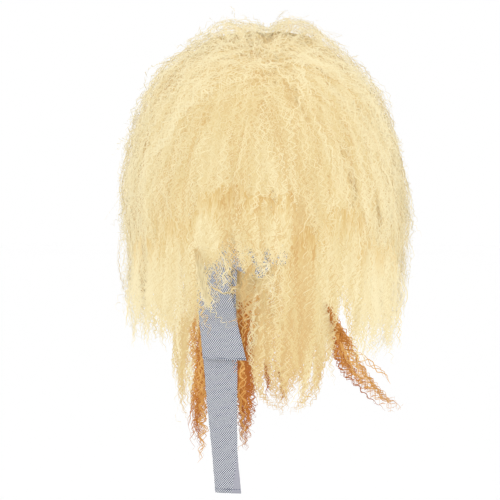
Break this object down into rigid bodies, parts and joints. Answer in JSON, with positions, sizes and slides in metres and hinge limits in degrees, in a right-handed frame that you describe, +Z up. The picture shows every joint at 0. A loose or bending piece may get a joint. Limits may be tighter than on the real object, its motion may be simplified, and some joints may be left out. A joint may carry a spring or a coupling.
{
  "type": "rocker wig with bandana",
  "caption": "Big crimped long-haired wig on a stretch cap, with darker under-locks and a folded bandana knotted at the back.",
  "frame": {"origin": "inside of the cap at the top of the wearer's head, where the wig sits", "axes": "+Z up, the face towards -Y, the wearer's left towards +X"},
  "size_m": [0.292, 0.2803, 0.4631],
  "materials": {
    "blonde_hair": "crimped synthetic fibre, satin",
    "ginger_hair": "crimped synthetic fibre, satin",
    "bandana_cloth": "plain cotton with a fine woven check",
    "cap_net": "stretch net, matt"
  },
  "bodies": {
    "root": {"wig_cap": "cap_net", "crown_hair": "blonde_hair", "nape_hair_left": "blonde_hair", "nape_hair_middle": "blonde_hair", "nape_hair_right": "blonde_hair", "ginger_locks_left": "ginger_hair", "ginger_locks_centre": "ginger_hair", "ginger_lock_right": "ginger_hair", "bandana_band": "bandana_cloth", "bandana_knot": "bandana_cloth", "bandana_tail_upper": "bandana_cloth", "bandana_tail_lower": "bandana_cloth"}
  },
  "joints": []
}
